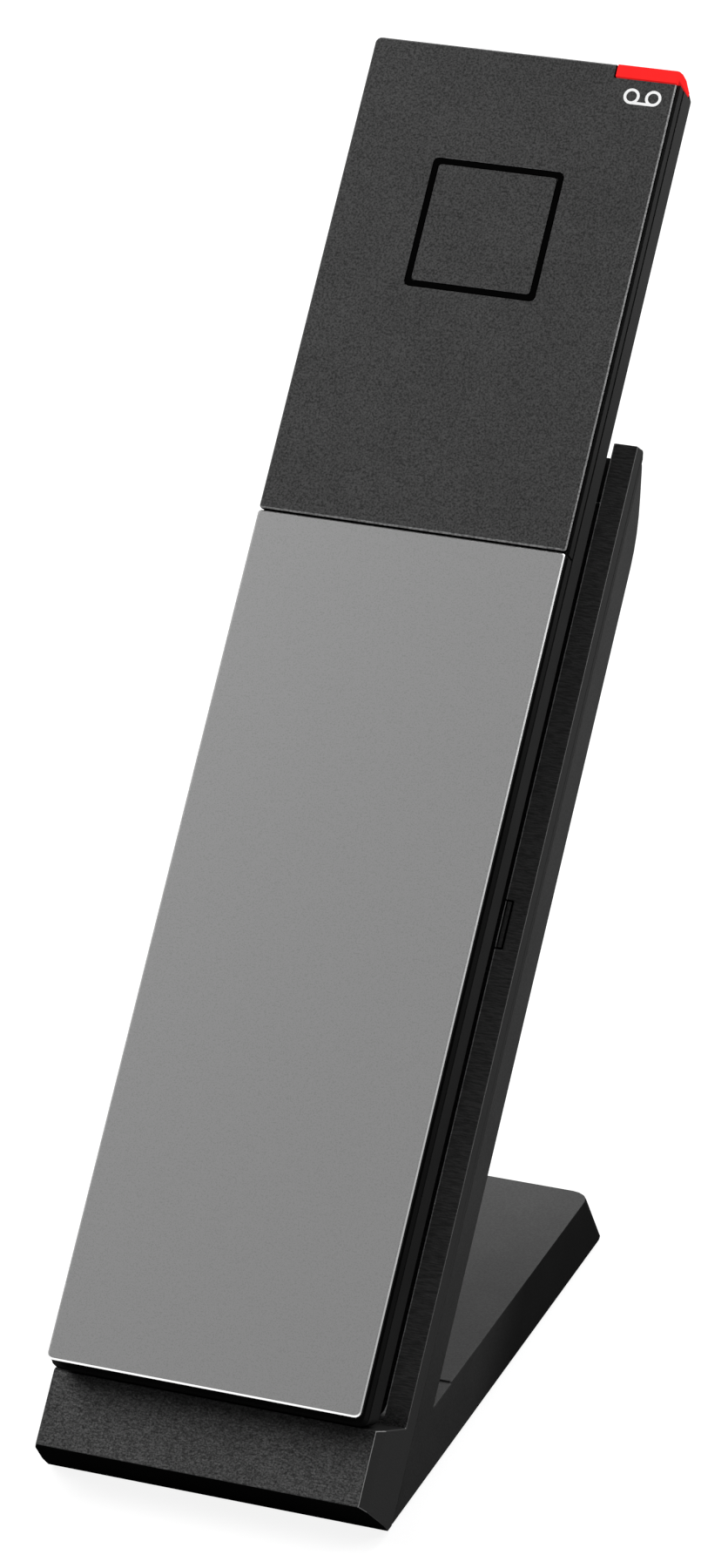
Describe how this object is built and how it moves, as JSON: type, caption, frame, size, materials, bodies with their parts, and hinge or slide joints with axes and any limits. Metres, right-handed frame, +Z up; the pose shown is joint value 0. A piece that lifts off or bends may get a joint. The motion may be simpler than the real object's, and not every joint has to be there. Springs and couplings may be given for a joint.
{
  "type": "cordless phone with base",
  "caption": "Slim cordless telephone handset leaning back in an upright charging cradle with a flat foot; keypad on its inner face, grey battery cover and a red lamp at its top corner.",
  "frame": {"origin": "bottom centre of the whole object's box, on the surface that the cradle stands on", "axes": "+X to the right as seen from the front, +Y to the rear, +Z up"},
  "size_m": [0.055, 0.1496, 0.1861],
  "materials": {
    "cradle_plastic": "fine leather grain, satin",
    "handset_shell_plastic": "satin",
    "upper_panel_plastic": "fine grain, matt",
    "grey_plate": "satin metallic grey paint",
    "black_gloss": "gloss",
    "red_lens": "translucent red, gloss",
    "key_plastic": "satin, with printed digits",
    "rubber": "matt",
    "circuit_board": "solder mask",
    "battery_sleeve": "shrink sleeve",
    "capsule_metal": "satin",
    "steel": "zinc plated",
    "gold_contact": "gold plated"
  },
  "bodies": {
    "base": {"cradle_front": "cradle_plastic", "cradle_rear": "cradle_plastic", "bottom_cover": "cradle_plastic", "ballast": "steel", "charging_board": "circuit_board", "inlet_jack": "black_gloss", "contact_block": "handset_shell_plastic", "retention_pad_left": "rubber", "retention_pad_right": "rubber", "rest_strip_lower": "rubber", "rest_strip_upper": "rubber", "rubber_foot_1": "rubber", "rubber_foot_2": "rubber", "rubber_foot_3": "rubber", "rubber_foot_4": "rubber", "base_screw_1": "steel", "base_screw_2": "steel", "base_screw_3": "steel", "base_screw_4": "steel"},
    "handset": {"handset_back_shell": "handset_shell_plastic", "handset_key_shell": "handset_shell_plastic", "upper_panel": "upper_panel_plastic", "square_ring": "black_gloss", "message_lamp_lens": "red_lens", "battery_pack": "battery_sleeve", "main_board": "circuit_board", "keypad_mat": "rubber", "receiver": "capsule_metal", "ringer": "capsule_metal", "microphone": "capsule_metal", "lamp_led": "red_lens", "handset_contact_left": "gold_contact", "handset_contact_right": "gold_contact", "handset_screw_1": "steel", "handset_screw_2": "steel", "handset_screw_3": "steel", "handset_screw_4": "steel"},
    "battery_cover": {"battery_cover": "grey_plate"},
    "key_talk": {"key_talk": "key_plastic"},
    "key_message": {"key_message": "key_plastic"},
    "key_off": {"key_off": "key_plastic"},
    "key_1": {"key_1": "key_plastic"},
    "key_2": {"key_2": "key_plastic"},
    "key_3": {"key_3": "key_plastic"},
    "key_4": {"key_4": "key_plastic"},
    "key_5": {"key_5": "key_plastic"},
    "key_6": {"key_6": "key_plastic"},
    "key_7": {"key_7": "key_plastic"},
    "key_8": {"key_8": "key_plastic"},
    "key_9": {"key_9": "key_plastic"},
    "key_star": {"key_star": "key_plastic"},
    "key_0": {"key_0": "key_plastic"},
    "key_hash": {"key_hash": "key_plastic"},
    "key_volume_down": {"key_volume_down": "key_plastic"},
    "key_mute": {"key_mute": "key_plastic"},
    "key_volume_up": {"key_volume_up": "key_plastic"},
    "charging_pin_left": {"charging_pin_left": "gold_contact"},
    "charging_pin_right": {"charging_pin_right": "gold_contact"}
  },
  "joints": [
    {"name": "handset_lift", "type": "slide", "parent": "base", "child": "handset", "axis": [0, -0.7632, 0.6461], "range_m": [0, 0.12]},
    {"name": "battery_cover_lift", "type": "slide", "parent": "handset", "child": "battery_cover", "axis": [0, -0.7632, 0.6461], "range_m": [0, 0.05]},
    {"name": "key_talk_press", "type": "slide", "parent": "handset", "child": "key_talk", "axis": [0, -0.7632, 0.6461], "range_m": [0, 0.0005], "stiffness_N_per_m": 400, "springref_m": -0.0005},
    {"name": "key_message_press", "type": "slide", "parent": "handset", "child": "key_message", "axis": [0, -0.7632, 0.6461], "range_m": [0, 0.0005], "stiffness_N_per_m": 400, "springref_m": -0.0005},
    {"name": "key_off_press", "type": "slide", "parent": "handset", "child": "key_off", "axis": [0, -0.7632, 0.6461], "range_m": [0, 0.0005], "stiffness_N_per_m": 400, "springref_m": -0.0005},
    {"name": "key_1_press", "type": "slide", "parent": "handset", "child": "key_1", "axis": [0, -0.7632, 0.6461], "range_m": [0, 0.0005], "stiffness_N_per_m": 400, "springref_m": -0.0005},
    {"name": "key_2_press", "type": "slide", "parent": "handset", "child": "key_2", "axis": [0, -0.7632, 0.6461], "range_m": [0, 0.0005], "stiffness_N_per_m": 400, "springref_m": -0.0005},
    {"name": "key_3_press", "type": "slide", "parent": "handset", "child": "key_3", "axis": [0, -0.7632, 0.6461], "range_m": [0, 0.0005], "stiffness_N_per_m": 400, "springref_m": -0.0005},
    {"name": "key_4_press", "type": "slide", "parent": "handset", "child": "key_4", "axis": [0, -0.7632, 0.6461], "range_m": [0, 0.0005], "stiffness_N_per_m": 400, "springref_m": -0.0005},
    {"name": "key_5_press", "type": "slide", "parent": "handset", "child": "key_5", "axis": [0, -0.7632, 0.6461], "range_m": [0, 0.0005], "stiffness_N_per_m": 400, "springref_m": -0.0005},
    {"name": "key_6_press", "type": "slide", "parent": "handset", "child": "key_6", "axis": [0, -0.7632, 0.6461], "range_m": [0, 0.0005], "stiffness_N_per_m": 400, "springref_m": -0.0005},
    {"name": "key_7_press", "type": "slide", "parent": "handset", "child": "key_7", "axis": [0, -0.7632, 0.6461], "range_m": [0, 0.0005], "stiffness_N_per_m": 400, "springref_m": -0.0005},
    {"name": "key_8_press", "type": "slide", "parent": "handset", "child": "key_8", "axis": [0, -0.7632, 0.6461], "range_m": [0, 0.0005], "stiffness_N_per_m": 400, "springref_m": -0.0005},
    {"name": "key_9_press", "type": "slide", "parent": "handset", "child": "key_9", "axis": [0, -0.7632, 0.6461], "range_m": [0, 0.0005], "stiffness_N_per_m": 400, "springref_m": -0.0005},
    {"name": "key_star_press", "type": "slide", "parent": "handset", "child": "key_star", "axis": [0, -0.7632, 0.6461], "range_m": [0, 0.0005], "stiffness_N_per_m": 400, "springref_m": -0.0005},
    {"name": "key_0_press", "type": "slide", "parent": "handset", "child": "key_0", "axis": [0, -0.7632, 0.6461], "range_m": [0, 0.0005], "stiffness_N_per_m": 400, "springref_m": -0.0005},
    {"name": "key_hash_press", "type": "slide", "parent": "handset", "child": "key_hash", "axis": [0, -0.7632, 0.6461], "range_m": [0, 0.0005], "stiffness_N_per_m": 400, "springref_m": -0.0005},
    {"name": "key_volume_down_press", "type": "slide", "parent": "handset", "child": "key_volume_down", "axis": [0, -0.7632, 0.6461], "range_m": [0, 0.0005], "stiffness_N_per_m": 400, "springref_m": -0.0005},
    {"name": "key_mute_press", "type": "slide", "parent": "handset", "child": "key_mute", "axis": [0, -0.7632, 0.6461], "range_m": [0, 0.0005], "stiffness_N_per_m": 400, "springref_m": -0.0005},
    {"name": "key_volume_up_press", "type": "slide", "parent": "handset", "child": "key_volume_up", "axis": [0, -0.7632, 0.6461], "range_m": [0, 0.0005], "stiffness_N_per_m": 400, "springref_m": -0.0005},
    {"name": "charging_pin_left_press", "type": "slide", "parent": "base", "child": "charging_pin_left", "axis": [0, 0.7632, -0.6461], "range_m": [0, 0.0007], "stiffness_N_per_m": 300, "springref_m": -0.0007},
    {"name": "charging_pin_right_press", "type": "slide", "parent": "base", "child": "charging_pin_right", "axis": [0, 0.7632, -0.6461], "range_m": [0, 0.0007], "stiffness_N_per_m": 300, "springref_m": -0.0007}
  ]
}
